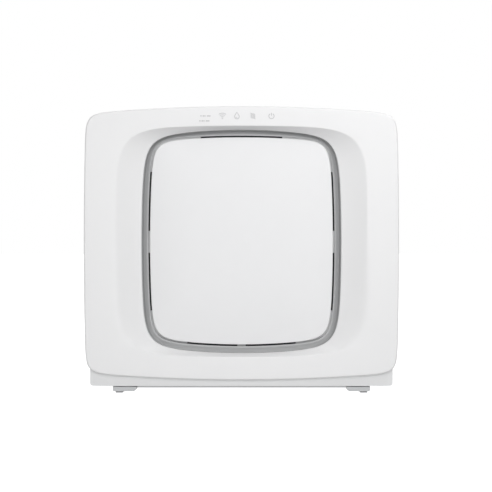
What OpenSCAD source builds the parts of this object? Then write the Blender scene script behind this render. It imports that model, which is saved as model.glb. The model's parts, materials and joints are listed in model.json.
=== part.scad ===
// Console air purifier. The front faces -Y, +X is to the right, +Z is up, and Z = 0 is the surface
// that it stands on. The inlet cover tilts on two pins and the fan turns inside.

/* [Fascia] */
// Width of the front fascia at its widest
fascia_w = 420; // [400:1:440]
// Height of the fascia at its middle
fascia_h = 364.8; // [362:0.2:368]
// Height of the fascia's middle above the floor
fascia_z = 200.8; // [200:0.2:204]
// Wall of the moulded shells
wall = 2.5; // [2:0.1:3]

/* [Recess and ring] */
// Width of the dished recess
recess_w = 335; // [320:1:345]
// Height of the dished recess
recess_h = 307.8; // [304:0.2:312]
// Width of the silver ring
ring_w = 266.8; // [264:0.2:269]
// Height of the silver ring
ring_h = 298.6; // [296:0.2:301]

/* [Inlet cover] */
// Width of the inlet cover
cover_w = 245; // [242:0.2:246]
// Height of the inlet cover
cover_h = 277.6; // [275:0.2:278]
// Width of the gap round the inlet cover
cover_gap = 2.6; // [2.2:0.1:2.8]
// How far the middle of the cover stands forward of its edge
cover_crown = 4.5; // [3:0.5:8]
// Length of the slot over the cover
top_slot = 110; // [60:1:120]

/* [Housing] */
// Width of the rear housing
housing_w = 405; // [398:0.2:406]
// Height of the rear housing's top above the floor
housing_top = 369; // [368:0.5:370]
// Height of the rear housing's bottom above the floor
housing_bottom = 9.7; // [9:0.1:11]
// Radius of the housing's upright rear corners
rear_round = 26; // [15:1:32]
// Radius of the housing's upper rear edge
top_round = 32; // [20:1:40]

/* [Fan] */
// Radius of the impeller
fan_r = 88; // [80:1:88]
// Number of impeller blades
blade_n = 36; // [24:1:40]
// Height of the fan's axis above the floor
fan_z = 190; // [188:1:194]

/* [Hidden] */
$fn = 48;
slack = 0.3;

// Colours
white = [0.93, 0.93, 0.93];
pale = [0.82, 0.83, 0.84];
silver = [0.66, 0.67, 0.68];
grey = [0.5, 0.51, 0.52];
dark = [0.16, 0.16, 0.17];
steel = [0.72, 0.73, 0.75];
copper = [0.72, 0.45, 0.25];
board = [0.1, 0.36, 0.22];
paper = [0.95, 0.95, 0.9];

// Planes across the depth, front to back
front_y = -105;
skirt_y = -72;
apron_y = -96.6;
apron_z = [48, 86];
dish_y = -92.5;
ring_floor_y = -85;
frame_y = -83;
plenum_y = -81;
seat_y = -78;
bulkhead_y = -15;
scroll_y = -11.8;
scroll_back_y = 56;
back_y = 105;

// Curves seen from the front. Each has bowed sides whose corners are blended by a power.
flat_r = 100000;
quarter = concat([for (a = [0:5:30]) a], [for (a = [33:1.5:57]) a], [for (a = [60:5:85]) a]);
angles = [for (q = [0:3]) for (a = quarter) 90 * q + a];

function bow(half, bow_r, c, s) = c * (half - bow_r) + sqrt(bow_r * bow_r - pow(s * (half - bow_r), 2));
function reach(a, b, n, ra, rb, c, s) =
    pow(pow(bow(a, ra, abs(c), abs(s)), -n) + pow(bow(b, rb, abs(s), abs(c)), -n), -1 / n);
function loop(a, b, n, zc, ra = flat_r, rt = flat_r, rb = flat_r) =
    [for (t = angles) let (r = reach(a, b, n, ra, sin(t) > 0 ? rt : rb, cos(t), sin(t)))
        [r * cos(t), zc + r * sin(t)]];
function mix(p, q, f) = [for (i = [0:len(p) - 1]) p[i] * (1 - f) + q[i] * f];

side_bow = 6250;
top_bow = 2200;
bottom_bow = 2350;
ring_z = 203.1;
cover_z = 203.9;
recess_bow = [3000, 2300];
ring_bow = [2020, 755, 790];
cover_bow = [1810, 1185, 815];
function outline(inset) = loop(fascia_w / 2 - inset, fascia_h / 2 - inset, 23, fascia_z,
    side_bow, top_bow, bottom_bow);
function recess(grow = 0) = loop(recess_w / 2 + grow, recess_h / 2 + grow, 6.6, ring_z,
    flat_r, recess_bow[0], recess_bow[1]);
function ring_out(grow = 0) = loop(ring_w / 2 + grow, ring_h / 2 + grow, 9.5, ring_z,
    ring_bow[0], ring_bow[1], ring_bow[2]);
function cover_edge(inset = 0) = loop(cover_w / 2 - inset, cover_h / 2 - inset, 11.7, cover_z,
    cover_bow[0], cover_bow[1], cover_bow[2]);
function ring_in(grow = 0) = cover_edge(-cover_gap - grow);

// A closed skin through loops of equal length, wrapped from the last loop back to the first
function at_y(curve, y) = [for (p = curve) [p[0], y, p[1]]];
// The same for the fascia's rear edge, which sweeps forward over the housing's lower front
function ease(u) = let (t = max(0, min(1, u))) t * t * (3 - 2 * t);
function skirt_at(z) = apron_y + (skirt_y - apron_y) * ease((z - apron_z[0]) / (apron_z[1] - apron_z[0]));
function at_skirt(curve) = [for (p = curve) [p[0], skirt_at(p[1]), p[1]]];
module wrap_loft(loops) {
    n = len(loops[0]);
    m = len(loops);
    polyhedron([for (l = loops) each l],
        [for (j = [0:m - 1]) for (i = [0:n - 1]) let (k = (j + 1) % m, h = (i + 1) % n)
            each [[j * n + i, j * n + h, k * n + h], [j * n + i, k * n + h, k * n + i]]]);
}
// The same, with a flat end on the first and the last loop
module cap_loft(loops) {
    n = len(loops[0]);
    m = len(loops);
    polyhedron([for (l = loops) each l],
        concat([[for (i = [n - 1:-1:0]) i]], [[for (i = [0:n - 1]) (m - 1) * n + i]],
            [for (j = [0:m - 2]) for (i = [0:n - 1]) let (h = (i + 1) % n)
                each [[j * n + i, j * n + h, (j + 1) * n + h],
                    [j * n + i, (j + 1) * n + h, (j + 1) * n + i]]]));
}
// A round lead along a route of points
lead_sides = 8;
function unit(v) = v / norm(v);
function heading(route, i) = unit(route[min(i + 1, len(route) - 1)] - route[max(i - 1, 0)]);
lead_ref = [0.31, 0.17, 0.93];
module lead(route, r) {
    cap_loft([for (i = [0:len(route) - 1])
        let (t = heading(route, i), u = unit(cross(t, lead_ref)), v = cross(u, t))
        [for (k = [0:lead_sides - 1]) let (a = 360 * k / lead_sides)
            route[i] + r * (cos(a) * u + sin(a) * v)]]);
}

module along_y(y0, y1) {
    translate([0, y1, 0]) rotate([90, 0, 0]) linear_extrude(y1 - y0) children();
}
module along_x(x0, x1) {
    translate([x0, 0, 0]) rotate([90, 0, 90]) linear_extrude(x1 - x0) children();
}
// A box given by its lowest and highest corners
module span(lo, hi) {
    translate(lo) cube(hi - lo);
}
// A rod along Y or along X
module rod_y(x, z, r, y0, y1) {
    translate([x, y1, z]) rotate([90, 0, 0]) cylinder(r = r, h = y1 - y0);
}
module rod_x(y, z, r, x0, x1) {
    translate([x0, y, z]) rotate([0, 90, 0]) cylinder(r = r, h = x1 - x0);
}
// A rectangle with round corners, in the X-Z plane
module round_rect(half_w, half_h, r) {
    union() {
        square([2 * half_w, 2 * (half_h - r)], center = true);
        square([2 * (half_w - r), 2 * half_h], center = true);
        for (sx = [-1, 1]) for (sz = [-1, 1]) translate([sx * (half_w - r), sz * (half_h - r)]) circle(r);
    }
}
module round_slab(half_w, half_h, r, y0, y1, z = 0) {
    translate([0, 0, z]) along_y(y0, y1) round_rect(half_w, half_h, r);
}
module both_sides() {
    children();
    mirror([1, 0, 0]) children();
}

// Front shell

module front_fascia() {
    color(white) wrap_loft([
        at_skirt(outline(0)), at_y(outline(0), front_y + 4.5), at_y(outline(0.4), front_y + 2.4),
        at_y(outline(1.3), front_y + 0.9), at_y(outline(3), front_y + 0.2), at_y(outline(7), front_y),
        at_y(recess(0), front_y + 0.8), at_y(mix(recess(0), ring_out(slack), 0.12), front_y + 2.4),
        at_y(mix(recess(0), ring_out(slack), 0.55), front_y + 8.1), at_y(ring_out(slack), dish_y),
        at_y(ring_out(slack), dish_y + wall), at_y(mix(recess(0), ring_out(slack), 0.5), front_y + 10.8),
        at_y(recess(2), front_y + 3.4), at_y(outline(12), front_y + 3),
        at_y(outline(wall + 1), front_y + 7), at_skirt(outline(wall))]);
}

module trim_ring() {
    outer = ring_out(0);
    inner = ring_in(0);
    color(silver) wrap_loft([
        at_y(outer, dish_y - 0.5), at_y(mix(outer, inner, 0.09), dish_y),
        at_y(mix(outer, inner, 0.22), -88.6), at_y(mix(outer, inner, 0.42), -86.4),
        at_y(mix(outer, inner, 0.7), -85.3), at_y(inner, ring_floor_y), at_y(inner, frame_y - 0.1),
        at_y(mix(outer, inner, 0.45), frame_y - 0.1), at_y(mix(outer, inner, 0.14), -87),
        at_y(outer, -89.9)]);
}

// Slotted frame behind the channel, with the cheeks that hold the cover's pins
opening_w = 108;
opening_h = 123;
side_slots = [[110.2, 187.9], [217.3, 296.8]];
bottom_slots = [5.6, 73];
hinge_z = 73.8;
hinge_y = -86.5;
pin_r = 1.6;
cheek_x = [52, 56, 64, 68];
cheek_half = 2.6;
module gap_slots() {
    along_y(frame_y - 1, plenum_y + 1) intersection() {
        difference() {
            polygon(ring_in(0.4));
            polygon(cover_edge(1.4));
        }
        union() {
            translate([-top_slot / 2, cover_z + 100]) square([top_slot, 60]);
            for (s = [-1, 1]) for (z = side_slots)
                translate([s * cover_w / 2 - 20, z[0]]) square([40, z[1] - z[0]]);
            for (s = [-1, 1]) translate([s < 0 ? -bottom_slots[1] : bottom_slots[0], 40])
                square([bottom_slots[1] - bottom_slots[0], 50]);
        }
    }
}
module inlet_frame() {
    color(pale) difference() {
        union() {
            along_y(frame_y, plenum_y) polygon(ring_in(4));
            both_sides() for (i = [0, 2])
                span([cheek_x[i], hinge_y - cheek_half, hinge_z - cheek_half],
                    [cheek_x[i + 1], frame_y + 1, hinge_z + cheek_half]);
        }
        round_slab(opening_w, opening_h, 12, frame_y - 1, plenum_y + 1, cover_z);
        gap_slots();
        both_sides() rod_x(hinge_y, hinge_z, pin_r + 0.05, cheek_x[0] - 1, cheek_x[3] + 1);
    }
}

// Inlet cover, on its own body

edge_y = -92.5;
cover_back_y = -87.5;
cover_y = edge_y - cover_crown - 1;
cover_skin = 2.4;
function crown(s) = cover_y + cover_crown * pow(s, 3.5);
module inlet_cover() {
    centre = [for (t = angles) [0, cover_z]];
    levels = [0.12, 0.4, 0.6, 0.76, 0.88, 0.95, 0.98];
    inner_levels = [0.94, 0.86, 0.7, 0.5, 0.12];
    color(white) cap_loft(concat(
        [for (s = levels) at_y(mix(centre, cover_edge(), s), crown(s))],
        [at_y(cover_edge(0.6), edge_y - 0.6), at_y(cover_edge(), edge_y + 0.4),
            at_y(cover_edge(), cover_back_y), at_y(cover_edge(2), cover_back_y),
            at_y(cover_edge(2.6), edge_y + 0.8)],
        [for (s = inner_levels) at_y(mix(centre, cover_edge(), s), crown(s) + cover_skin)]));
}

module rib_grid(half_w, half_h, nx, nz, rib) {
    for (i = [1:nx - 1]) translate([-half_w + 2 * half_w * i / nx, 0])
        square([rib, 2 * half_h], center = true);
    for (j = [1:nz - 1]) translate([0, -half_h + 2 * half_h * j / nz])
        square([2 * half_w, rib], center = true);
}
rib_y = [-91.2, -88.6];
module cover_frame() {
    notch_top = hinge_z + 6;
    color(pale) difference() {
        union() {
            difference() {
                along_y(rib_y[0], rib_y[1]) polygon(cover_edge(3));
                translate([0, 0, cover_z]) along_y(rib_y[0] - 1, rib_y[1] + 1) difference() {
                    round_rect(104, 118, 10);
                    rib_grid(104, 118, 4, 5, 4);
                }
                both_sides() span([cheek_x[0] - 2, rib_y[0] - 1, 60],
                    [cheek_x[3] + 2, rib_y[1] + 1, notch_top]);
            }
            both_sides() rod_x(hinge_y, hinge_z, 3, cheek_x[1] + slack, cheek_x[2] - slack);
            both_sides() span([cheek_x[1] + slack, hinge_y - 2.9, hinge_z],
                [cheek_x[2] - slack, hinge_y - 0.1, hinge_z + 16]);
        }
        both_sides() rod_x(hinge_y, hinge_z, pin_r, cheek_x[0], cheek_x[3]);
    }
}

module cover_hinge_pins() {
    color(steel) both_sides() rod_x(hinge_y, hinge_z, pin_r, cheek_x[0] - 0.5, cheek_x[3] + 0.5);
}

magnet_x = 50;
magnet_z = 333;
module cover_magnets() {
    color(steel) both_sides() rod_y(magnet_x, magnet_z, 3.4, rib_y[1], -84.4);
}

module catch_plates() {
    color(steel) both_sides()
        span([magnet_x - 6, frame_y - 1, magnet_z - 5], [magnet_x + 6, frame_y, magnet_z + 5]);
}

module cover_seal() {
    color(dark) difference() {
        round_slab(113, 121, 14, rib_y[1], frame_y - 0.5, cover_z);
        round_slab(110, 118, 11, rib_y[1] - 1, frame_y + 1, cover_z);
        both_sides() span([cheek_x[0] - 2, rib_y[1] - 1, 70], [cheek_x[3] + 2, frame_y + 1, 94]);
    }
}

// Rear housing and what is fitted to it

housing_y = front_y + 9;
lip_y = housing_y + wall;
lip_low = 52;
lead_hole = [66, 363.5];
grille_half = 136;
grille_y = [-6, 58];
grip_y = [-8, 72];
grip_z = [298, 328];
grip_depth = 22;
inlet_x = 160;
inlet_z = 36;
sensor_y = 30;
sensor_z = 120;
sensor_half = 15;
plate_z = 110;
screw_spots = [[-166, 26], [166, 326], [-166, 326], [100, 26]];
module housing_form(inset) {
    half = housing_w / 2 - inset;
    low = housing_bottom + inset;
    high = housing_top - inset;
    back = back_y - inset;
    corner = rear_round - inset;
    edge = top_round - inset;
    front = housing_y + inset;
    shoulder = 17 - inset;
    foot_round = 4 - inset / 2;
    intersection() {
        translate([0, 0, low]) linear_extrude(high - low) union() {
            polygon([[-half, front], [half, front], [half, back - corner], [half - corner, back - corner],
                [half - corner, back], [corner - half, back], [corner - half, back - corner],
                [-half, back - corner]]);
            for (s = [-1, 1]) translate([s * (half - corner), back - corner]) circle(corner);
        }
        along_x(-half - 1, half + 1) union() {
            polygon([[front, low], [back, low], [back, high - edge], [back - edge, high - edge],
                [back - edge, high], [front, high]]);
            translate([back - edge, high - edge]) circle(edge);
        }
        along_y(front - 1, back + 1) union() {
            polygon([[foot_round - half, low], [half - foot_round, low],
                [half - foot_round, low + foot_round],
                [half, low + foot_round], [half, high - shoulder], [half - shoulder, high - shoulder],
                [half - shoulder, high], [shoulder - half, high], [shoulder - half, high - shoulder],
                [-half, high - shoulder], [-half, low + foot_round],
                [foot_round - half, low + foot_round]]);
            for (s = [-1, 1]) translate([s * (half - shoulder), high - shoulder]) circle(shoulder);
            for (s = [-1, 1]) translate([s * (half - foot_round), low + foot_round]) circle(foot_round);
        }
    }
}
module inlet_outline(grow) {
    round_rect(14 + grow, 9 + grow, 4);
}
module rear_housing() {
    color(white) difference() {
        union() {
            housing_form(0);
            along_y(housing_y, lip_y) intersection() {
                polygon(outline(wall + 1.5));
                translate([-fascia_w, lip_low]) square([2 * fascia_w, fascia_h + fascia_z]);
            }
        }
        housing_form(wall);
        round_slab(170, 156, 40, housing_y - 1, lip_y + 1, ring_z);
        rod_y(lead_hole[0], lead_hole[1], 2.4, housing_y - 1, lip_y + 1);
        span([-grille_half, grille_y[0], housing_top - wall - 1],
            [grille_half, grille_y[1], housing_top + 1]);
        both_sides() span([housing_w / 2 - wall - 1, grip_y[0], grip_z[0]],
            [housing_w / 2 + 1, grip_y[1], grip_z[1]]);
        span([-housing_w / 2 - 1, sensor_y - sensor_half, sensor_z - sensor_half],
            [-housing_w / 2 + wall + 1, sensor_y + sensor_half, sensor_z + sensor_half]);
        translate([inlet_x, 0, inlet_z]) along_y(back_y - wall - 1, back_y + 1) inlet_outline(0);
        translate([0, 0, plate_z]) along_y(back_y - 0.6, back_y + 1) round_rect(35.2, 20.2, 3);
        for (p = screw_spots) rod_y(p[0], p[1], 1.6, back_y - wall - 1, back_y + 1);
        for (p = screw_spots) rod_y(p[0], p[1], 3.4, back_y - 1.2, back_y + 1);
    }
}

module outlet_grille() {
    x0 = grille_half - slack;
    y0 = grille_y[0] + slack;
    y1 = grille_y[1] - slack;
    z0 = housing_top - 6;
    z1 = housing_top - 0.4;
    slats = 8;
    pitch = (y1 - y0 - 4) / slats;
    color(pale) union() {
        difference() {
            span([-x0, y0, z0], [x0, y1, z1]);
            span([-x0 + 3, y0 + 3, z0 - 1], [x0 - 3, y1 - 3, z1 + 1]);
        }
        for (i = [1:slats - 1])
            span([-x0 + 1, y0 + 1 + pitch * i, z0 + 1], [x0 - 1, y0 + 3 + pitch * i, z1 - 0.6]);
        for (i = [-2:2]) span([i * x0 / 3 - 1, y0 + 1, z0], [i * x0 / 3 + 1, y1 - 1, z1 - 1.4]);
    }
}

base_z = 7.2;
base_half = 142;
base_y = [-92, 94];
foot_in = 140;
foot_out = 172.8;
foot_y = [[-92, -62], [64, 94]];
foot_top = 8.2;
pad_top = 2.3;
pad_x = [159.5, 169];
module base_plate() {
    color(grey) difference() {
        span([-base_half, base_y[0], base_z], [base_half, base_y[1], housing_bottom]);
        for (ys = foot_y) both_sides() span([foot_in - slack, ys[0] - slack, base_z - 1],
            [base_half + 1, ys[1] + slack, housing_bottom + 1]);
        for (x = [-120, 0, 120]) for (y = [-70, 70])
            translate([x, y, base_z - 1]) cylinder(r = 1.6, h = 5);
    }
}
module foot(ys) {
    color(pale) difference() {
        union() {
            along_y(ys[0], ys[1]) polygon([[foot_in, foot_top], [foot_out, foot_top],
                [foot_out - 0.6, pad_top + 0.4], [foot_out - 1.6, pad_top], [foot_in + 4, pad_top],
                [foot_in + 2, pad_top + 1.2]]);
            span([foot_in + 3, ys[0] + 7, foot_top - 1], [foot_out - 3, ys[1] - 7, housing_bottom]);
        }
        translate([(pad_x[0] + pad_x[1]) / 2, (ys[0] + ys[1]) / 2, pad_top - 1]) cylinder(r = 3, h = 2.5);
    }
}
module foot_front_left() { mirror([1, 0, 0]) foot(foot_y[0]); }
module foot_front_right() { foot(foot_y[0]); }
module foot_rear_left() { mirror([1, 0, 0]) foot(foot_y[1]); }
module foot_rear_right() { foot(foot_y[1]); }
module foot_pads() {
    color(grey) for (ys = foot_y) both_sides() union() {
        span([pad_x[0], ys[0] + 3, 0], [pad_x[1], ys[1] - 3, pad_top]);
        translate([(pad_x[0] + pad_x[1]) / 2, (ys[0] + ys[1]) / 2, 1]) cylinder(r = 3, h = 2.6);
    }
}

module grip_cup() {
    x1 = housing_w / 2 - 0.2;
    color(pale) difference() {
        span([x1 - grip_depth, grip_y[0] + slack, grip_z[0] + slack],
            [x1, grip_y[1] - slack, grip_z[1] - slack]);
        span([x1 - grip_depth + 2, grip_y[0] + 2.3, grip_z[0] + 2.3],
            [x1 + 1, grip_y[1] - 2.3, grip_z[1] - 2.3]);
    }
}
module hand_grip_right() { grip_cup(); }
module hand_grip_left() { mirror([1, 0, 0]) grip_cup(); }

module sensor_grille() {
    half = sensor_half - slack;
    x0 = -housing_w / 2 + 0.2;
    color(pale) difference() {
        span([x0, sensor_y - half, sensor_z - half], [x0 + 2, sensor_y + half, sensor_z + half]);
        for (i = [-3:3]) span([x0 - 1, sensor_y - 10, sensor_z + 4 * i - 0.8],
            [x0 + 3, sensor_y + 10, sensor_z + 4 * i + 0.8]);
    }
}

inlet_front_y = 86;
socket_floor_y = 92;
blade_x = 4.3;
module power_inlet() {
    color(dark) translate([inlet_x, 0, inlet_z]) difference() {
        along_y(inlet_front_y, back_y - 0.2) inlet_outline(-slack);
        along_y(socket_floor_y, back_y + 1) union() {
            square([8.2, 8.2], center = true);
            for (s = [-1, 1]) translate([s * 4.1, 0]) circle(4.1);
        }
        for (s = [-1, 1]) rod_y(s * blade_x, 0, 1.2, inlet_front_y - 1, socket_floor_y + 1);
    }
}
module inlet_pins() {
    color(steel) for (s = [-1, 1]) rod_y(inlet_x + s * blade_x, inlet_z, 1.2, inlet_front_y - 3, 102);
}
module rating_plate() {
    color(silver) round_slab(35, 20, 2.8, back_y - 0.6, back_y - 0.2, plate_z);
}
module screw_y(x, z, y_head, y_tip) {
    difference() {
        union() {
            rod_y(x, z, 3, y_head - 1, y_head);
            rod_y(x, z, 1.5, y_tip, y_head - 0.5);
        }
        span([x - 1.8, y_head - 0.5, z - 0.4], [x + 1.8, y_head + 1, z + 0.4]);
        span([x - 0.4, y_head - 0.5, z - 1.8], [x + 0.4, y_head + 1, z + 1.8]);
    }
}
module housing_screws() {
    color(steel) for (p = screw_spots)
        screw_y(p[0], p[1], back_y - 0.2, back_y - 12);
}
module base_screws() {
    color(steel) for (x = [-120, 0, 120]) for (y = [-70, 70]) union() {
        translate([x, y, base_z - 1.2]) cylinder(r = 3, h = 1.2);
        translate([x, y, base_z - 0.5]) cylinder(r = 1.5, h = 2.9);
    }
}

// Filters and the chassis that holds them

chassis_hole_r = 75;
module filter_chassis() {
    b_w = 106;
    b_h = 121;
    color(pale) difference() {
        union() {
            round_slab(130, 145, 16, plenum_y, seat_y + 2, cover_z);
            round_slab(b_w + 2, b_h + 2, 8, seat_y, bulkhead_y, cover_z);
            span([-197, bulkhead_y, 13], [197, bulkhead_y + 3, 352]);
            span([-186, bulkhead_y, 351], [186, bulkhead_y + 3, 365]);
        }
        round_slab(128, 143, 14, plenum_y - 1, seat_y, cover_z);
        round_slab(b_w, b_h, 6, seat_y - 1, bulkhead_y, cover_z);
        rod_y(0, fan_z, chassis_hole_r, bulkhead_y - 1, bulkhead_y + 4);
        span([150, bulkhead_y - 1, 344], [164, bulkhead_y + 4, 360]);
    }
}

filter_w = 105;
filter_h = 120;
module filter_frame(y0, y1, border, bars) {
    difference() {
        round_slab(filter_w, filter_h, 5, y0, y1, cover_z);
        translate([0, 0, cover_z]) along_y(y0 - 1, y1 + 1) difference() {
            round_rect(filter_w - border, filter_h - border, 3);
            if (bars > 0) rib_grid(filter_w - border, filter_h - border, bars, bars + 1, 3);
        }
    }
}
module prefilter_frame() { color(grey) filter_frame(-77, -72, 6, 3); }
module prefilter_mesh() {
    color(dark) round_slab(filter_w - 4, filter_h - 4, 3, -71.9, -71.3, cover_z);
}
module carbon_frame() { color(white) filter_frame(-70.8, -59, 5, 0); }
module carbon_core() {
    color(dark) round_slab(filter_w - 5.1, filter_h - 5.1, 2.9, -69.5, -60, cover_z);
}
module hepa_frame() { color(white) filter_frame(-58, -21, 4, 0); }
module hepa_pleats() {
    pleats = 34;
    half = filter_w - 4.6;
    pitch = 2 * half / pleats;
    front = -56;
    depth = 32;
    paper_t = 0.9;
    color(paper) translate([0, 0, cover_z - filter_h + 5.4]) linear_extrude(2 * (filter_h - 5.4))
        polygon(concat(
            [for (i = [0:pleats]) [-half + i * pitch, i % 2 == 0 ? front : front + depth]],
            [for (i = [pleats:-1:0]) [-half + i * pitch, (i % 2 == 0 ? front : front + depth) + paper_t]]));
}
module hepa_gasket() {
    color(dark) difference() {
        round_slab(filter_w - 1, filter_h - 1, 5, -21, bulkhead_y, cover_z);
        round_slab(filter_w - 9, filter_h - 9, 3, -22, bulkhead_y + 1, cover_z);
    }
}
module filter_pull_tabs() {
    color(grey) both_sides() span([60, -71.2, cover_z + 83], [90, -70.8, cover_z + 97]);
    color(grey) both_sides() span([60, -58.8, cover_z + 100], [90, -58, cover_z + 114]);
}

// Fan

impeller_y = [-2, 48];
module inlet_bell() {
    color(pale) translate([0, 0, fan_z]) rotate([90, 0, 0]) rotate_extrude() polygon([
        [chassis_hole_r - 0.2, 4.5], [chassis_hole_r - 0.2, 15], [chassis_hole_r - 3, 15], [chassis_hole_r - 5.5, 12],
        [chassis_hole_r - 6.5, 8], [chassis_hole_r - 6.5, 4.5]]);
}
module fan_guard() {
    guard_y = [-17, -15];
    color(grey) translate([0, 0, fan_z]) union() {
        for (r = [16, 30, 44, 58, 72]) difference() {
            rod_y(0, 0, r, guard_y[0], guard_y[1]);
            rod_y(0, 0, r - 1.8, guard_y[0] - 1, guard_y[1] + 1);
        }
        for (a = [0:60:300]) rotate([0, a, 0])
            span([15, guard_y[0] + 0.2, -0.9], [74, guard_y[1] - 0.2, 0.9]);
        difference() {
            rod_y(0, 0, chassis_hole_r + 6, guard_y[1] - 1.2, guard_y[1]);
            rod_y(0, 0, 71, guard_y[0] - 1, guard_y[1] + 1);
        }
    }
}
module blade() {
    curve_r = 15;
    skin = 1.1;
    inner_r = fan_r - 17;
    difference() {
        intersection() {
            translate([fan_r - 6, 13]) difference() {
                circle(curve_r + skin);
                circle(curve_r);
            }
            difference() {
                circle(fan_r - 0.6);
                circle(inner_r);
            }
        }
        translate([0, 12]) square([2 * fan_r, fan_r]);
    }
}
shaft_r = 4;
module impeller() {
    color(grey) translate([0, 0, fan_z]) difference() {
        union() {
            for (i = [0:blade_n - 1]) rotate([0, 360 * i / blade_n, 0])
                along_y(impeller_y[0] + 1, impeller_y[1] - 1) blade();
            difference() {
                rod_y(0, 0, fan_r, impeller_y[0], impeller_y[0] + 2);
                rod_y(0, 0, fan_r - 9, impeller_y[0] - 1, impeller_y[0] + 3);
            }
            rod_y(0, 0, fan_r, impeller_y[1] - 2, impeller_y[1]);
            rod_y(0, 0, 13, 18, impeller_y[1]);
        }
        rod_y(0, 0, shaft_r, 17, impeller_y[1] + 1);
    }
}
module motor_shaft() { color(steel) rod_y(0, fan_z, shaft_r, 8, 95); }
module hub_nut() {
    color(steel) difference() {
        translate([0, 17.8, fan_z]) rotate([90, 0, 0]) cylinder(r = 8, h = 6.5, $fn = 6);
        rod_y(0, fan_z, shaft_r, 10, 19);
    }
}
module motor_rotor() {
    color(steel) difference() {
        rod_y(0, fan_z, 20, 71, 86);
        rod_y(0, fan_z, shaft_r, 70, 87);
    }
}
motor_y = [62, 94];
bearing_r = 9;
module motor_can() {
    color(steel) difference() {
        union() {
            difference() {
                rod_y(0, fan_z, 40, motor_y[0], motor_y[1]);
                rod_y(0, fan_z, 37.5, motor_y[0] + 2, motor_y[1] - 2);
            }
            rod_y(0, fan_z, 12.5, motor_y[0] + 1, motor_y[0] + 7);
            rod_y(0, fan_z, 12.5, motor_y[1] - 7, motor_y[1] - 1);
        }
        rod_y(0, fan_z, bearing_r, motor_y[0] - 1, motor_y[0] + 8);
        rod_y(0, fan_z, bearing_r, motor_y[1] - 8, motor_y[1] + 1);
    }
}
module motor_stator() {
    color(copper) difference() {
        rod_y(0, fan_z, 37.2, 71, 86);
        rod_y(0, fan_z, 21, 70, 87);
    }
}
module motor_bearings() {
    color(steel) for (y = [motor_y[0], motor_y[1] - 6]) difference() {
        rod_y(0, fan_z, bearing_r, y, y + 6);
        rod_y(0, fan_z, shaft_r + 0.05, y - 1, y + 7);
    }
}
mount_r = 56;
mount_angles = [30, 150, 270];
module motor_bracket() {
    color(steel) translate([0, 0, fan_z]) difference() {
        union() {
            rod_y(0, 0, 46, 60, 61.8);
            for (a = mount_angles) rod_y(mount_r * cos(a), mount_r * sin(a), 12, 60, 61.8);
        }
        rod_y(0, 0, 13, 59, 63);
        for (a = mount_angles) rod_y(mount_r * cos(a), mount_r * sin(a), 2.2, 59, 63);
    }
}
module motor_grommets() {
    color(dark) translate([0, 0, fan_z]) for (a = mount_angles) difference() {
        rod_y(mount_r * cos(a), mount_r * sin(a), 6, scroll_back_y, 60);
        rod_y(mount_r * cos(a), mount_r * sin(a), 2.2, scroll_back_y - 1, 61);
    }
}
module motor_screws() {
    color(steel) translate([0, 0, fan_z]) for (a = mount_angles) union() {
        rod_y(mount_r * cos(a), mount_r * sin(a), 4, 61.9, 64.4);
        rod_y(mount_r * cos(a), mount_r * sin(a), 2, scroll_back_y - 1.8, 62.5);
    }
}

scroll_r = 94;
scroll_gain = 40;
tongue = 70;
neck_z = 322;
function spiral(grow) = concat(
    [for (a = [tongue:10:360]) let (r = scroll_r + scroll_gain * (a - tongue) / 290 + grow)
        [r * cos(a), fan_z + r * sin(a)]],
    [[scroll_r + scroll_gain + grow, neck_z], [scroll_r * cos(tongue) - grow, neck_z]]);
module scroll_housing() {
    color(pale) difference() {
        along_y(scroll_y, scroll_back_y) polygon(spiral(2));
        along_y(scroll_y - 1, scroll_back_y - 2) union() {
            polygon(spiral(0));
            polygon([[scroll_r * cos(tongue), neck_z - 1], [scroll_r + scroll_gain, neck_z - 1],
                [scroll_r + scroll_gain, neck_z + 1], [scroll_r * cos(tongue), neck_z + 1]]);
        }
        rod_y(0, fan_z, 20, scroll_back_y - 3, scroll_back_y + 1);
        for (a = mount_angles)
            rod_y(mount_r * cos(a), fan_z + mount_r * sin(a), 2, scroll_back_y - 3, scroll_back_y + 1);
    }
}
module outlet_duct() {
    left = scroll_r * cos(tongue);
    right = scroll_r + scroll_gain;
    top = housing_top - 6.4;
    color(pale) difference() {
        along_y(-5, scroll_back_y) polygon([[left - 2, neck_z + slack], [right + 2, neck_z + slack],
            [136, top], [-135, top]]);
        along_y(-3, scroll_back_y - 2) polygon([[left, neck_z - 1], [right, neck_z - 1], [134, top + 1],
            [-132, top + 1]]);
    }
}
module ioniser() {
    color(dark) span([-70, 56.3, 338], [-40, 68, 352]);
    color(steel) for (x = [-62, -48]) rod_y(x, 345, 0.8, 67, 71);
}

// Electronics

module touch_board() {
    color(board) span([-72, -100.2, 360.4], [72, -98.8, 371.4]);
}
module light_guide() {
    color(white) span([-70, -101.5, 360.8], [70, -100.3, 369.6]);
}
module main_board() {
    color(board) union() {
        span([150, -5, 110], [151.6, 88, 262]);
        for (z = [130, 160, 196]) translate([151, 20, z]) rotate([0, 90, 0]) cylinder(r = 6, h = 16);
        span([151, 40, 180], [156, 66, 206]);
        span([151, 40, 120], [163, 70, 150]);
        span([151, 0, 226], [158, 60, 236]);
        span([151, 70, 136], [162, 78, 146]);
    }
}
module power_supply() {
    color(board) union() {
        span([142, -5, 60], [190, 84, 61.6]);
        span([150, 10, 61], [182, 40, 88]);
        for (y = [52, 68]) translate([160, y, 61]) cylinder(r = 6, h = 22);
        span([172, 48, 61], [184, 74, 80]);
    }
}
module wifi_module() {
    color(board) span([150, 0, 270], [151.2, 26, 294]);
    color(steel) span([151.2, 5, 273], [153.6, 21, 289]);
}
module particle_sensor() {
    color(dark) span([-196, sensor_y - 20, sensor_z - 20], [-172, sensor_y + 20, sensor_z + 20]);
}
module cover_switch() {
    color(dark) span([70, plenum_y + 0.1, magnet_z - 3], [82, seat_y - 0.3, magnet_z + 3]);
}
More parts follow.
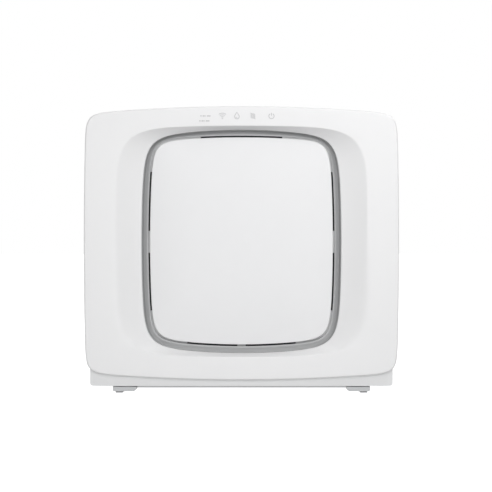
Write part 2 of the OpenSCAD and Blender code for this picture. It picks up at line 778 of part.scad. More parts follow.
module touch_lead() {
    color(dark) lead([[lead_hole[0], -98.6, lead_hole[1]], [lead_hole[0], -91, lead_hole[1]],
        [70, -84, 363], [82, -72, 362], [120, -48, 361], [150, -25, 358], [157, -8, 352], [158, 6, 330],
        [158, 10, 300], [158, 10, 264], [158, 10, 240]], 1.6);
}
module mains_lead() {
    color(dark) lead([[inlet_x, 82, inlet_z], [inlet_x, 76, inlet_z], [164, 70, 38], [172, 62, 46],
        [178, 60, 54], [178, 60, 59.6]], 2.4);
}
module motor_lead() {
    color(dark) lead([[30, 92, 158], [40, 96, 152], [70, 97, 146], [110, 96, 144], [138, 94, 142],
        [150, 93, 141.4], [157, 90, 141], [158, 84.6, 141], [158, 79.4, 141]], 2);
}

front_fascia();
trim_ring();
inlet_frame();
inlet_cover();
cover_frame();
cover_hinge_pins();
cover_magnets();
catch_plates();
cover_seal();
rear_housing();
outlet_grille();
base_plate();
foot_front_left();
foot_front_right();
foot_rear_left();
foot_rear_right();
foot_pads();
hand_grip_left();
hand_grip_right();
sensor_grille();
power_inlet();
inlet_pins();
rating_plate();
housing_screws();
base_screws();
filter_chassis();
prefilter_frame();
prefilter_mesh();
carbon_frame();
carbon_core();
hepa_frame();
hepa_pleats();
hepa_gasket();
filter_pull_tabs();
inlet_bell();
fan_guard();
impeller();
motor_shaft();
hub_nut();
motor_rotor();
motor_can();
motor_stator();
motor_bearings();
motor_bracket();
motor_grommets();
motor_screws();
scroll_housing();
outlet_duct();
ioniser();
touch_board();
light_guide();
touch_lead();
main_board();
power_supply();
wifi_module();
particle_sensor();
cover_switch();
mains_lead();
motor_lead();
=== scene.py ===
# Looks of the console air purifier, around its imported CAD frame. All lengths are in metres.
import json
import math

import bmesh
import bpy
import numpy as np
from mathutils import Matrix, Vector


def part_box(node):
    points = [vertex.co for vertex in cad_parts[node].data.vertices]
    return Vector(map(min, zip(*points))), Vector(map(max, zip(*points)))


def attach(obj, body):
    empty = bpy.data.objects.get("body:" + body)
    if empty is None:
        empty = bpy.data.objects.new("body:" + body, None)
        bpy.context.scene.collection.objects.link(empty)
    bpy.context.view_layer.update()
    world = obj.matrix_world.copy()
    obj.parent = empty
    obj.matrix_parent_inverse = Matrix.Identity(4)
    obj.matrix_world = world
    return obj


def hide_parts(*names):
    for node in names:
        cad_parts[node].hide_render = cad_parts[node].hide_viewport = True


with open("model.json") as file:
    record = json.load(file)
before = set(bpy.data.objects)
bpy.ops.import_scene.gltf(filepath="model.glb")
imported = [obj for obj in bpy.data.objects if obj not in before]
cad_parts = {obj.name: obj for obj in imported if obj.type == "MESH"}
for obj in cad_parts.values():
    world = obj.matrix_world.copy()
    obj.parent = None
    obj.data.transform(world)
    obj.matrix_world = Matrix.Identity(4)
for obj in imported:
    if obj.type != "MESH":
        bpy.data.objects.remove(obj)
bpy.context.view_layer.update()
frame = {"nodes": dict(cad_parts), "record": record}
NODES = frame["nodes"]
MM = 0.001


# Camera, lights and floor

FASCIA_LOW, FASCIA_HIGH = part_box("front_fascia")
FRONT_Y = FASCIA_LOW.y
VIEW_WIDTH = 0.6548
LENS = 100
SENSOR = 36
AIM_X = 0.0061
AIM_Z = 0.197

# Strength of the white backdrop as a light, from below and from above the horizon
GLOW_BELOW, GLOW_ABOVE = 0.5, 0.33
HORIZON = 0.1
FLOOR_REACH = 30
FLOOR_GLOW = 0.95

# Name, place, target, size and power of each soft light
SOFTBOXES = (
    ("front_softbox", (0.1, -2.5, 0.35), (0, -0.1, 0.2), (1.6, 2.2), 34),
    ("top_softbox", (0.2, -0.45, 1.7), (0, -0.05, 0.2), (1.8, 0.9), 6.5),
    ("key_softbox", (0.45, -0.45, 0.75), (0.2, -0.1, 0.37), (0.3, 0.3), 0.95),
    ("left_softbox", (-1.6, -1.4, 0.7), (0, -0.1, 0.2), (0.8, 1.4), 0.8),
)


def make_camera():
    data = bpy.data.cameras.new("camera")
    data.lens = LENS
    data.sensor_width = SENSOR
    camera = bpy.data.objects.new("camera", data)
    bpy.context.scene.collection.objects.link(camera)
    camera.location = (AIM_X, FRONT_Y - VIEW_WIDTH * LENS / SENSOR, AIM_Z)
    camera.rotation_euler = (math.radians(90), 0, 0)
    bpy.context.scene.camera = camera


def area_light(name, place, target, size, power):
    data = bpy.data.lights.new(name, "AREA")
    data.shape = "RECTANGLE"
    data.size, data.size_y = size
    data.energy = power
    lamp = bpy.data.objects.new(name, data)
    lamp.location = place
    lamp.rotation_euler = (Vector(target) - Vector(place)).to_track_quat("-Z", "Y").to_euler()
    bpy.context.scene.collection.objects.link(lamp)


def studio_world():
    """A white backdrop. As a light it is dimmer, and a little brighter from below than from above."""
    world = bpy.data.worlds.new("studio")
    world.use_nodes = True
    tree = world.node_tree
    direction = tree.nodes.new("ShaderNodeTexCoord")
    split = tree.nodes.new("ShaderNodeSeparateXYZ")
    tree.links.new(direction.outputs["Generated"], split.inputs[0])
    fade = tree.nodes.new("ShaderNodeMapRange")
    for name, value in (("From Min", -HORIZON), ("From Max", HORIZON),
                        ("To Min", GLOW_BELOW), ("To Max", GLOW_ABOVE)):
        fade.inputs[name].default_value = value
    tree.links.new(split.outputs["Z"], fade.inputs["Value"])
    backdrop = tree.nodes.new("ShaderNodeMix")
    path = tree.nodes.new("ShaderNodeLightPath")
    tree.links.new(path.outputs["Is Camera Ray"], backdrop.inputs["Factor"])
    tree.links.new(fade.outputs["Result"], backdrop.inputs["A"])
    backdrop.inputs["B"].default_value = 1.0
    tree.links.new(backdrop.outputs["Result"], tree.nodes["Background"].inputs["Strength"])
    tree.nodes["Background"].inputs["Color"].default_value = (1, 1, 1, 1)
    return world


def make_stage():
    bpy.context.scene.world = studio_world()
    bpy.context.scene.view_settings.view_transform = "Standard"
    for softbox in SOFTBOXES:
        area_light(*softbox)

    floor = bpy.data.meshes.new("floor")
    build = bmesh.new()
    corners = ((-1, -1), (1, -1), (1, 1), (-1, 1))
    build.faces.new([build.verts.new((x * FLOOR_REACH, y * FLOOR_REACH, 0)) for x, y in corners])
    build.to_mesh(floor)
    build.free()
    piece = bpy.data.objects.new("floor", floor)
    bpy.context.scene.collection.objects.link(piece)
    floor.materials.append(plain_floor())
    piece.visible_diffuse = False
    piece.visible_glossy = False


# Materials

def new_material(name):
    material = bpy.data.materials.new(name)
    material.use_nodes = True
    tree = material.node_tree
    return material, tree, tree.nodes["Principled BSDF"]


def link(tree, out, socket):
    tree.links.new(out, socket)


def add(tree, kind, **values):
    node = tree.nodes.new(kind)
    for key, value in values.items():
        if key in node.inputs:
            node.inputs[key].default_value = value
        else:
            setattr(node, key, value)
    return node


def place(tree):
    return add(tree, "ShaderNodeTexCoord").outputs["Object"]


def noise(tree, scale, detail=4.0, rough=0.55, where=None):
    node = add(tree, "ShaderNodeTexNoise", Scale=scale, Detail=detail, Roughness=rough)
    link(tree, where or place(tree), node.inputs["Vector"])
    return node.outputs["Fac"]


def ramp(tree, value, low, high):
    node = add(tree, "ShaderNodeMapRange")
    node.inputs["To Min"].default_value = low
    node.inputs["To Max"].default_value = high
    link(tree, value, node.inputs["Value"])
    return node.outputs["Result"]


def scaled(colour, factor):
    return tuple(min(1.0, c * factor) for c in colour[:3]) + (1.0,)


def blend_colour(tree, factor, a, b):
    node = add(tree, "ShaderNodeMix", data_type="RGBA")
    link(tree, factor, node.inputs["Factor"])
    for socket, value in ((node.inputs[6], a), (node.inputs[7], b)):
        if isinstance(value, tuple):
            socket.default_value = value
        else:
            link(tree, value, socket)
    return node.outputs[2]


def bump(tree, shader, height, strength, distance):
    node = add(tree, "ShaderNodeBump", Strength=strength, Distance=distance)
    link(tree, height, node.inputs["Height"])
    link(tree, node.outputs["Normal"], shader.inputs["Normal"])


def worn_edge(tree):
    """1 on sharp outer edges, 0 elsewhere."""
    geometry = add(tree, "ShaderNodeNewGeometry")
    node = add(tree, "ShaderNodeMapRange")
    for name, value in (("From Min", 0.52), ("From Max", 0.62), ("To Min", 0.0), ("To Max", 1.0)):
        node.inputs[name].default_value = value
    link(tree, geometry.outputs["Pointiness"], node.inputs["Value"])
    return node.outputs["Result"]


def plain_floor():
    material, tree, shader = new_material("studio_floor")
    tone = ramp(tree, noise(tree, 3.0), 0.0, 1.0)
    shade = blend_colour(tree, tone, (0.97, 0.97, 0.97, 1), (1, 1, 1, 1))
    link(tree, shade, shader.inputs["Base Color"])
    shader.inputs["Roughness"].default_value = 0.9
    shader.inputs["Emission Color"].default_value = (1, 1, 1, 1)
    shader.inputs["Emission Strength"].default_value = FLOOR_GLOW
    return material


def plastic(name, colour, rough, grain=2600, depth=0.02, coat=0.0, spread=0.012, edge=1.04):
    """Moulded plastic: faint mottling, fine spark-eroded grain, slightly paler polished edges."""
    material, tree, shader = new_material(name)
    mottle = ramp(tree, noise(tree, 35, 5), 0.0, 1.0)
    base = blend_colour(tree, mottle, scaled(colour, 1 - spread), scaled(colour, 1 + spread))
    worn = blend_colour(tree, worn_edge(tree), base, scaled(colour, edge))
    link(tree, worn, shader.inputs["Base Color"])
    sheen = ramp(tree, noise(tree, 120, 6), rough - 0.05, rough + 0.05)
    link(tree, sheen, shader.inputs["Roughness"])
    bump(tree, shader, noise(tree, grain, 2), depth, 0.0002)
    shader.inputs["Coat Weight"].default_value = coat
    shader.inputs["Coat Roughness"].default_value = 0.12
    return material


def metal(name, colour, rough, stretch=(1, 1, 1), grain=900, depth=0.05, metallic=1.0):
    """Metal with a brushed or rolled grain along the short axis of stretch."""
    material, tree, shader = new_material(name)
    mapping = add(tree, "ShaderNodeMapping")
    mapping.inputs["Scale"].default_value = stretch
    link(tree, place(tree), mapping.inputs["Vector"])
    streak = noise(tree, grain, 6, 0.6, mapping.outputs["Vector"])
    base = blend_colour(tree, streak, scaled(colour, 0.9), scaled(colour, 1.08))
    worn = blend_colour(tree, worn_edge(tree), base, scaled(colour, 1.2))
    link(tree, worn, shader.inputs["Base Color"])
    link(tree, ramp(tree, streak, rough - 0.07, rough + 0.07), shader.inputs["Roughness"])
    bump(tree, shader, streak, depth, 0.0002)
    shader.inputs["Metallic"].default_value = metallic
    return material


def cellular(name, dark, light, cells, rough, depth, size=0.0006):
    """Granules or foam cells."""
    material, tree, shader = new_material(name)
    node = add(tree, "ShaderNodeTexVoronoi", Scale=cells)
    link(tree, place(tree), node.inputs["Vector"])
    shade = blend_colour(tree, node.outputs["Distance"], dark, light)
    link(tree, shade, shader.inputs["Base Color"])
    sheen = ramp(tree, noise(tree, cells, 3), rough - 0.08, rough + 0.08)
    link(tree, sheen, shader.inputs["Roughness"])
    bump(tree, shader, node.outputs["Distance"], depth, size)
    return material


def woven(name, dark, light, threads, rough, depth):
    """Cloth or net of crossing threads in the X-Z plane."""
    material, tree, shader = new_material(name)
    waves = []
    for axis in ("X", "Z"):
        wave = add(tree, "ShaderNodeTexWave", Scale=threads, Distortion=0.4, bands_direction=axis)
        link(tree, place(tree), wave.inputs["Vector"])
        waves.append(wave.outputs["Fac"])
    cross = add(tree, "ShaderNodeMath", operation="MAXIMUM")
    for i, wave in enumerate(waves):
        link(tree, wave, cross.inputs[i])
    link(tree, blend_colour(tree, cross.outputs[0], dark, light), shader.inputs["Base Color"])
    sheen = ramp(tree, noise(tree, 700, 3), rough - 0.06, rough + 0.06)
    link(tree, sheen, shader.inputs["Roughness"])
    bump(tree, shader, cross.outputs[0], depth, 0.0004)
    return material


def circuit(name):
    """Green solder mask with paler traces and bright pads."""
    material, tree, shader = new_material(name)
    brick = add(tree, "ShaderNodeTexBrick", Scale=220)
    link(tree, place(tree), brick.inputs["Vector"])
    dots = add(tree, "ShaderNodeTexVoronoi", Scale=260)
    link(tree, place(tree), dots.inputs["Vector"])
    mask = blend_colour(tree, brick.outputs["Fac"], (0.02, 0.16, 0.08, 1), (0.05, 0.3, 0.16, 1))
    pads = add(tree, "ShaderNodeMath", operation="LESS_THAN")
    pads.inputs[1].default_value = 0.12
    link(tree, dots.outputs["Distance"], pads.inputs[0])
    board = blend_colour(tree, pads.outputs[0], mask, (0.6, 0.58, 0.5, 1))
    link(tree, board, shader.inputs["Base Color"])
    link(tree, ramp(tree, noise(tree, 300), 0.3, 0.45), shader.inputs["Roughness"])
    bump(tree, shader, brick.outputs["Fac"], 0.1, 0.0002)
    return material


def windings(name):
    """Enamelled copper wire wound round the stator."""
    material, tree, shader = new_material(name)
    wave = add(tree, "ShaderNodeTexWave", Scale=420, Distortion=1.5, bands_direction="Y")
    link(tree, place(tree), wave.inputs["Vector"])
    wire = blend_colour(tree, wave.outputs["Fac"], (0.24, 0.08, 0.03, 1), (0.72, 0.34, 0.16, 1))
    link(tree, wire, shader.inputs["Base Color"])
    link(tree, ramp(tree, noise(tree, 500), 0.28, 0.42), shader.inputs["Roughness"])
    bump(tree, shader, wave.outputs["Fac"], 0.4, 0.0004)
    shader.inputs["Metallic"].default_value = 0.9
    return material


def make_materials():
    warm = (0.86, 0.86, 0.865)
    return {
        "fascia_white": plastic("fascia_white", warm, 0.42, 2400, 0.015, 0.1),
        "cover_white": plastic("cover_white", (0.86, 0.862, 0.87), 0.45, 2400, 0.012, 0.08),
        "ring_silver": metal("ring_silver", (0.48, 0.485, 0.49), 0.5, (1, 1, 1), 3000, 0.02, 0.35),
        "frame_pale": plastic("frame_pale", (0.7, 0.705, 0.71), 0.5, 1800, 0.05),
        "housing_white": plastic("housing_white", (0.82, 0.825, 0.83), 0.48, 1500, 0.08),
        "grille_pale": plastic("grille_pale", (0.74, 0.745, 0.75), 0.45, 1800, 0.06),
        "base_grey": plastic("base_grey", (0.56, 0.565, 0.57), 0.55, 1300, 0.1),
        "foot_pale": plastic("foot_pale", (0.6, 0.61, 0.62), 0.5, 1500, 0.08),
        "pad_rubber": plastic("pad_rubber", (0.36, 0.36, 0.37), 0.75, 1200, 0.15, 0, 0.05),
        "seal_foam": cellular("seal_foam", (0.02, 0.02, 0.02, 1), (0.1, 0.1, 0.105, 1),
                              900, 0.9, 0.5),
        "inlet_black": plastic("inlet_black", (0.03, 0.03, 0.032), 0.42, 1500, 0.08, 0, 0.1, 1.6),
        "steel": metal("steel", (0.6, 0.61, 0.62), 0.3, (1, 6, 6), 700, 0.05),
        "label_silver": metal("label_silver", (0.62, 0.63, 0.64), 0.45, (1, 1, 30), 300, 0.03, 0.3),
        "chassis_dark": plastic("chassis_dark", (0.03, 0.03, 0.032), 0.6, 1500, 0.08),
        "chassis_pale": plastic("chassis_pale", (0.55, 0.56, 0.57), 0.52, 1500, 0.08),
        "filter_frame": plastic("filter_frame", (0.8, 0.8, 0.79), 0.6, 1200, 0.1),
        "prefilter_grey": plastic("prefilter_grey", (0.2, 0.205, 0.21), 0.5, 1500, 0.08),
        "mesh_dark": woven("mesh_dark", (0.015, 0.015, 0.016, 1), (0.12, 0.12, 0.125, 1),
                           160, 0.7, 0.6),
        "carbon": cellular("carbon", (0.005, 0.005, 0.005, 1), (0.06, 0.06, 0.062, 1),
                           420, 0.75, 0.9, 0.0015),
        "filter_paper": woven("filter_paper", (0.72, 0.72, 0.68, 1), (0.86, 0.86, 0.82, 1),
                              900, 0.85, 0.15),
        "tab_fabric": woven("tab_fabric", (0.12, 0.2, 0.3, 1), (0.3, 0.42, 0.55, 1),
                            500, 0.85, 0.4),
        "fan_grey": plastic("fan_grey", (0.16, 0.165, 0.17), 0.42, 1600, 0.06, 0, 0.04, 1.3),
        "motor_steel": metal("motor_steel", (0.5, 0.5, 0.51), 0.38, (6, 1, 6), 500, 0.05),
        "copper": windings("copper"),
        "circuit_board": circuit("circuit_board"),
        "diffuser": plastic("diffuser", (0.85, 0.85, 0.86), 0.35, 2000, 0.03),
        "lead_black": plastic("lead_black", (0.03, 0.03, 0.03), 0.5, 1800, 0.1, 0, 0.1, 1.5),
        "mark_grey": plastic("mark_grey", (0.5, 0.5, 0.51), 0.5, 2000, 0.02),
    }


# Curves seen from the front, of the same families as in the CAD: bowed sides blended by a power

RING_LOW, RING_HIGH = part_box("trim_ring")
COVER_LOW, COVER_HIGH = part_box("inlet_cover")
FLAT = 100.0
OUTLINE_POWER, RECESS_POWER, RING_POWER, COVER_POWER = 23, 6.6, 9.5, 11.7
# Radii of the bow of the sides, the top and the bottom
OUTLINE_BOWS = (6.25, 2.2, 2.35)
RECESS_BOWS = (FLAT, 3.0, 2.3)
RING_BOWS = (2.02, 0.755, 0.79)
COVER_BOWS = (1.81, 1.185, 0.815)
RECESS_HALF = (167.5 * MM, 153.9 * MM)
COVER_GAP = 2.6 * MM
WALL = 2.5 * MM
SLACK = 0.3 * MM
# The visible face lies this far behind the CAD face, so that the marks stay inside the CAD box
PRINT_ROOM = 0.14 * MM


def turn_angles():
    coarse, fine = np.arange(0, 30, 1.0), np.arange(30, 60, 0.4)
    quarter = np.concatenate([coarse, fine, np.arange(60, 90, 1.0)])
    return np.radians(np.concatenate([quarter + 90 * q for q in range(4)]))


TURN = turn_angles()
COS, SIN = np.cos(TURN), np.sin(TURN)


def bowed(half, bow, along, across):
    return along * (half - bow) + np.sqrt(bow * bow - (across * (half - bow)) ** 2)


def curve(a, b, power, z, side=FLAT, top=FLAT, bottom=FLAT):
    """Points (x, z) of a bowed, rounded rectangle, one for each turn angle."""
    upward = bowed(b, top, abs(SIN), abs(COS))
    downward = bowed(b, bottom, abs(SIN), abs(COS))
    upright = np.where(SIN > 0, upward, downward)
    reach = (bowed(a, side, abs(COS), abs(SIN)) ** -power + upright ** -power) ** (-1 / power)
    return np.stack([reach * COS, z + reach * SIN], axis=1)


def centre_and_half(low, high):
    return (low.z + high.z) / 2, (high.x - low.x) / 2, (high.z - low.z) / 2


FASCIA_Z, FASCIA_A, FASCIA_B = centre_and_half(FASCIA_LOW, FASCIA_HIGH)
RING_Z, RING_A, RING_B = centre_and_half(RING_LOW, RING_HIGH)
COVER_Z, COVER_A, COVER_B = centre_and_half(COVER_LOW, COVER_HIGH)


def outline(inset=0.0):
    return curve(FASCIA_A - inset, FASCIA_B - inset, OUTLINE_POWER, FASCIA_Z, *OUTLINE_BOWS)


def recess(grow=0.0):
    return curve(RECESS_HALF[0] + grow, RECESS_HALF[1] + grow, RECESS_POWER, RING_Z, *RECESS_BOWS)


def ring_outer(grow=0.0):
    return curve(RING_A + grow, RING_B + grow, RING_POWER, RING_Z, *RING_BOWS)


def cover_edge(inset=0.0):
    return curve(COVER_A - inset, COVER_B - inset, COVER_POWER, COVER_Z, *COVER_BOWS)


def ring_inner(grow=0.0):
    return cover_edge(-COVER_GAP - grow)


def ease(value):
    t = np.clip(value, 0, 1)
    return t * t * (3 - 2 * t)


# 1 along the top or bottom side of a bowed rectangle, 0 down its sides
ALONG_TOP, ALONG_BOTTOM = ease((SIN - 0.6) / 0.25), ease((-SIN - 0.6) / 0.25)


def ring_of(points, y):
    """Points (x, z) at depth y, which is one number or one for each point."""
    return np.stack([points[:, 0], np.broadcast_to(y, len(points)), points[:, 1]], axis=1)


def loft(name, loops, material, closed=True, pole=None):
    """A smooth skin through loops of equal length. Closed joins the last loop to the first."""
    build = bmesh.new()
    rows = [[build.verts.new(tuple(p)) for p in loop] for loop in loops]
    count = len(rows[0])
    pairs = list(zip(rows, rows[1:])) + ([(rows[-1], rows[0])] if closed else [])
    for one, two in pairs:
        for i in range(count):
            j = (i + 1) % count
            build.faces.new((one[i], one[j], two[j], two[i]))
    if pole is not None:
        for row, y in ((rows[0], pole[0]), (rows[-1], pole[1])):
            middle = build.verts.new((0.0, y, COVER_Z))
            for i in range(count):
                build.faces.new((middle, row[(i + 1) % count], row[i]))
    bmesh.ops.recalc_face_normals(build, faces=build.faces[:])
    for face in build.faces:
        face.smooth = True
    return finished(name, build, material)


def finished(name, build, material):
    mesh = bpy.data.meshes.new(name)
    build.to_mesh(mesh)
    build.free()
    mesh.materials.append(material)
    piece = bpy.data.objects.new(name, mesh)
    bpy.context.scene.collection.objects.link(piece)
    return piece


# Front fascia

EDGE_WIDTH, EDGE_DEPTH, EDGE_POWER = 2.4 * MM, 3 * MM, 2.4
FACE_FALL = 0.8 * MM
DISH_DEPTH = 11.7 * MM
APRON_Z = (48 * MM, 86 * MM)
APRON_BACK = 8.4 * MM
SKIRT_Y = FASCIA_HIGH.y
DISH_POWER = 1.2
# The crease is crisp in the middle and softens beyond SOFT_X and below SOFT_Z
SOFT_X, SOFT_RUN_X = 132 * MM, 22 * MM
SOFT_Z, SOFT_RUN_Z = RING_Z + 30 * MM, 110 * MM
CREASE_CRISP, CREASE_SIDE, CREASE_LOW = 0.9 * MM, 2.4 * MM, 9 * MM
# Loops from the fascia's edge to the crease (below 0) and on to the ring
FACE_STEPS = np.concatenate([-np.linspace(1, 0.25, 8), -np.linspace(0.22, 0.02, 10) ** 1.2,
                             np.linspace(0, 0.3, 16), np.linspace(0.34, 1, 18)])


def skirt_rim(points):
    """The skirt's rear rim sweeps forward over the housing's lower front."""
    rise = ease((points[:, 1] - APRON_Z[0]) / (APRON_Z[1] - APRON_Z[0]))
    return FRONT_Y + APRON_BACK + (SKIRT_Y - FRONT_Y - APRON_BACK) * rise


def crease_width(points):
    """Rounding of the recess's outer crease: crisp above, soft down the sides and lower corners."""
    outward = ease((abs(points[:, 0]) - SOFT_X) / SOFT_RUN_X)
    down = ease((SOFT_Z - points[:, 1]) / SOFT_RUN_Z)
    return CREASE_CRISP + outward * (CREASE_SIDE + CREASE_LOW * down)


def face_height(distance, face_span, dish_span):
    """Depth behind the face plane. The distance is from the crease, above 0 in the dish."""
    on_face = FACE_FALL * np.clip(1 + distance / face_span, 0, 1) ** 2
    into = np.clip(distance / dish_span, 0, 1)
    return np.where(distance < 0, on_face, FACE_FALL + DISH_DEPTH * (1 - (1 - into) ** DISH_POWER))


def face_loops(face_y):
    start, crease, end = outline(EDGE_WIDTH), recess(), ring_outer(SLACK)
    face_span = np.linalg.norm(start - crease, axis=1)
    dish_span = np.linalg.norm(end - crease, axis=1)
    width = crease_width(crease)
    inner_width = np.minimum(width, dish_span * 0.6)
    outer_width = np.minimum(width, face_span * 0.6)
    taps = np.linspace(-1, 1, 11)
    weights = 1.05 - abs(taps)
    loops = []
    for step in FACE_STEPS:
        distance = step * (face_span if step < 0 else dish_span)
        reach = np.minimum(np.where(distance < 0, outer_width, inner_width), dish_span - distance)
        heights = (w * face_height(distance + t * reach, face_span, dish_span)
                   for t, w in zip(taps, weights))
        depth = sum(heights) / weights.sum()
        share = abs(step)
        points = crease + (start - crease) * share if step < 0 else crease + (end - crease) * share
        loops.append(ring_of(points, face_y + depth))
    return loops


def make_fascia(materials):
    face_y = FRONT_Y + PRINT_ROOM
    rim = skirt_rim(outline())
    loops = [ring_of(outline(0.3 * MM), rim), ring_of(outline(), rim - 0.4 * MM)]
    for turn in np.radians(np.linspace(0, 90, 18)):
        across, back = (abs(math.cos(turn)) ** (2 / EDGE_POWER), math.sin(turn) ** (2 / EDGE_POWER))
        loops.append(ring_of(outline(EDGE_WIDTH * (1 - across)), face_y + EDGE_DEPTH * (1 - back)))
    loops += face_loops(face_y)[1:]
    lip, crease = ring_outer(SLACK), recess(2 * MM)
    dish_back = FRONT_Y + FACE_FALL + DISH_DEPTH + WALL
    loops.append(ring_of(lip, dish_back))
    loops.append(ring_of((recess() + lip) / 2, FRONT_Y + 10.8 * MM))
    loops.append(ring_of(crease, FRONT_Y + 3.4 * MM))
    loops.append(ring_of(outline(12 * MM), FRONT_Y + 3 * MM))
    loops.append(ring_of(outline(WALL + MM), FRONT_Y + 7 * MM))
    loops.append(ring_of(outline(WALL), rim - 0.4 * MM))
    loops.append(ring_of(outline(WALL - 0.3 * MM), rim))
    piece = loft("fascia_shell", loops, materials["fascia_white"])
    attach(piece, "body")
    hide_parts("front_fascia")


# Silver ring: a short steep wall round the outside, then a gentle cove, shallow along the bottom

RING_WALL = 3.4 * MM
WALL_SHARE = 0.24
# Shares of the ring's width where its lip ends and where its inner edge starts
RING_LIP, RING_FLOOR_END = 0.03, 0.98
# How much shallower the ring's floor is along the bottom
BOTTOM_RISE = 2.6 * MM


def make_ring(materials):
    outer, inner = ring_outer(), ring_inner()
    crest = RING_LOW.y
    back = RING_HIGH.y
    floor = back - 2 * MM - BOTTOM_RISE * ALONG_BOTTOM
    wall = RING_WALL * (1 - 0.9 * ALONG_BOTTOM)
    power = 1.7 + 0.6 * ALONG_TOP

    def at(share, y):
        return ring_of(outer + (inner - outer) * share, y)

    loops = [at(0, crest + 3.5 * MM), at(0, crest + 0.25 * MM), at(0.012, crest),
             at(RING_LIP, crest + 0.05 * MM)]
    for share in np.linspace(0, 1, 36)[1:]:
        rest = 1 - share
        depth = (floor - crest - wall) * rest ** power + wall * (1 - ease(share / WALL_SHARE))
        loops.append(at(RING_LIP + (RING_FLOOR_END - RING_LIP) * share, floor - depth))
    loops += [at(0.99, floor + 0.12 * MM), at(1, floor + 0.5 * MM), at(1, back), at(0.45, back),
              at(0.14, back - 3.9 * MM)]
    piece = loft("silver_ring", loops, materials["ring_silver"])
    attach(piece, "body")
    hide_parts("trim_ring")


# Inlet cover

CROWN = 4.5 * MM
CROWN_POWER = 3.5
EDGE_ROUND = 1.3 * MM
COVER_SKIN = 2.4 * MM
# Loops from the middle of the panel to its edge, as shares of the way
PANEL_SHARES = np.concatenate([np.linspace(0.03, 0.6, 16), np.linspace(0.63, 1, 30)])


def make_cover(materials):
    front = COVER_LOW.y

    def crowned(share):
        return front + CROWN * share ** CROWN_POWER

    def level(share, y):
        points = cover_edge(EDGE_ROUND)
        middle = np.array([0.0, COVER_Z])
        return ring_of(middle + (points - middle) * share, y)

    loops = [level(s, crowned(s)) for s in PANEL_SHARES]
    shoulder = crowned(1.0)
    for turn in np.radians(np.linspace(15, 90, 6)):
        inset = EDGE_ROUND * (1 - math.sin(turn))
        loops.append(ring_of(cover_edge(inset), shoulder + EDGE_ROUND * (1 - math.cos(turn))))
    back = COVER_HIGH.y
    loops += [ring_of(cover_edge(), back - 0.3 * MM), ring_of(cover_edge(0.3 * MM), back),
              ring_of(cover_edge(2 * MM), back), ring_of(cover_edge(2.6 * MM), shoulder + 2 * MM)]
    loops += [level(s, crowned(s) + COVER_SKIN) for s in np.linspace(0.95, 0.03, 16)]
    piece = loft("cover_panel", loops, materials["cover_white"], closed=False,
                 pole=(front, front + COVER_SKIN))
    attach(piece, "cover")
    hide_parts("inlet_cover")


# Printed touch marks

MARK_Z = 370.1 * MM
STROKE = 0.75 * MM
# The two rows of dashes that stand in for lettering, in millimetres
DASH_STARTS = (-54.6, -56)
DASH_LENGTHS = (1.6, 2.4, 1.2, 2.6, 1.8)
DASH_PITCH = 2.9
DASH_WIDTH = 1.3 * MM
ROW_DROP = 6.6 * MM
# Middle of each icon along X
SIGNAL_X, DROP_X, BREEZE_X, POWER_X = -25.3 * MM, -6 * MM, 15.3 * MM, 40 * MM


def arc(centre, radius, start, stop, count=14):
    turns = np.radians(np.linspace(start, stop, count))
    return [(centre[0] + radius * math.cos(t), centre[1] + radius * math.sin(t)) for t in turns]


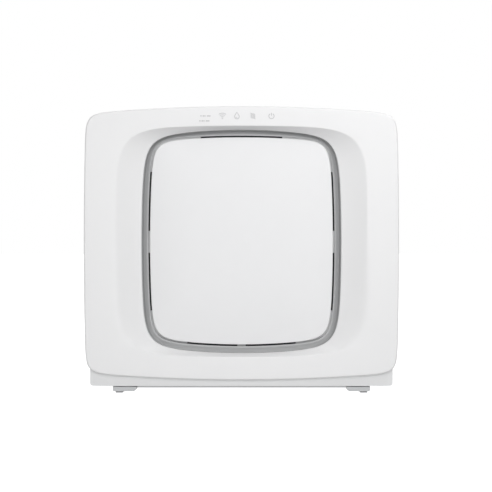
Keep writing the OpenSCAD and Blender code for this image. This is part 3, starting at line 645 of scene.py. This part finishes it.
def stroke(build, points, width=STROKE, closed=False):
    """A flat printed line of even width through points (x, z)."""
    route = [np.array(p) for p in points]
    rows = []
    for i, p in enumerate(route):
        before = route[i - 1] if i or closed else p
        after = route[(i + 1) % len(route)] if i < len(route) - 1 or closed else p
        along = (after - before) / np.linalg.norm(after - before)
        side = np.array([-along[1], along[0]]) * width / 2
        rows.append([p + side, p - side])
    front, back = FRONT_Y, FRONT_Y + PRINT_ROOM + 0.1 * MM
    verts = [[build.verts.new((q[0], y, q[1])) for q in row for y in (front, back)] for row in rows]
    last = len(verts) if closed else len(verts) - 1
    for i in range(last):
        a, b = verts[i], verts[(i + 1) % len(verts)]
        for m, n in ((0, 2), (2, 3), (3, 1), (1, 0)):
            build.faces.new((a[m], a[n], b[n], b[m]))
    if not closed:
        build.faces.new([verts[0][k] for k in (0, 1, 3, 2)])
        build.faces.new([verts[-1][k] for k in (0, 2, 3, 1)])


def draw_dashes(build):
    for row, start in enumerate(DASH_STARTS):
        z = MARK_Z - row * ROW_DROP
        for i, length in enumerate(DASH_LENGTHS):
            x = (start + DASH_PITCH * i) * MM
            stroke(build, [(x, z), (x + length * MM, z)], DASH_WIDTH)


def draw_signal(build):
    foot = (SIGNAL_X, MARK_Z - 3.2 * MM)
    for radius in (2.4, 4.7, 7.0):
        stroke(build, arc(foot, radius * MM, 48, 132))
    stroke(build, arc(foot, 0.45 * MM, 0, 330, 10), closed=True)


def draw_drop(build):
    middle = (DROP_X, MARK_Z - 0.8 * MM)
    tip = (middle[0], middle[1] + 6 * MM)
    stroke(build, arc(middle, 3.1 * MM, 150, 390, 22) + [tip], closed=True)
    stroke(build, arc(middle, 1.5 * MM, 200, 290, 8), 0.6 * MM)


def draw_breeze(build):
    for lift in (-2.4, 0, 2.4):
        wave = [(run, lift - 0.25 * run + 0.6 * math.sin(1.9 * run))
                for run in np.linspace(-3.2, 3.2, 17)]
        stroke(build, [(BREEZE_X + x * MM, MARK_Z + z * MM) for x, z in wave], 0.9 * MM)


def draw_power(build):
    middle = (POWER_X, MARK_Z - 0.2 * MM)
    stroke(build, arc(middle, 3.5 * MM, 122, 418, 28))
    stroke(build, [(middle[0], middle[1] + 0.6 * MM), (middle[0], middle[1] + 4.4 * MM)])


def make_marks(materials):
    build = bmesh.new()
    for draw in (draw_dashes, draw_signal, draw_drop, draw_breeze, draw_power):
        draw(build)
    bmesh.ops.recalc_face_normals(build, faces=build.faces[:])
    piece = finished("touch_marks", build, materials["mark_grey"])
    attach(piece, "body")


# CAD nodes that keep their shape get their finish here

def dress_nodes(materials):
    for row in frame["record"]["subparts"]:
        mesh = NODES[row["node"]].data
        mesh.materials.clear()
        mesh.materials.append(materials[row["material_slot"]])


make_camera()
make_stage()
finishes = make_materials()
dress_nodes(finishes)
make_fascia(finishes)
make_ring(finishes)
make_cover(finishes)
make_marks(finishes)
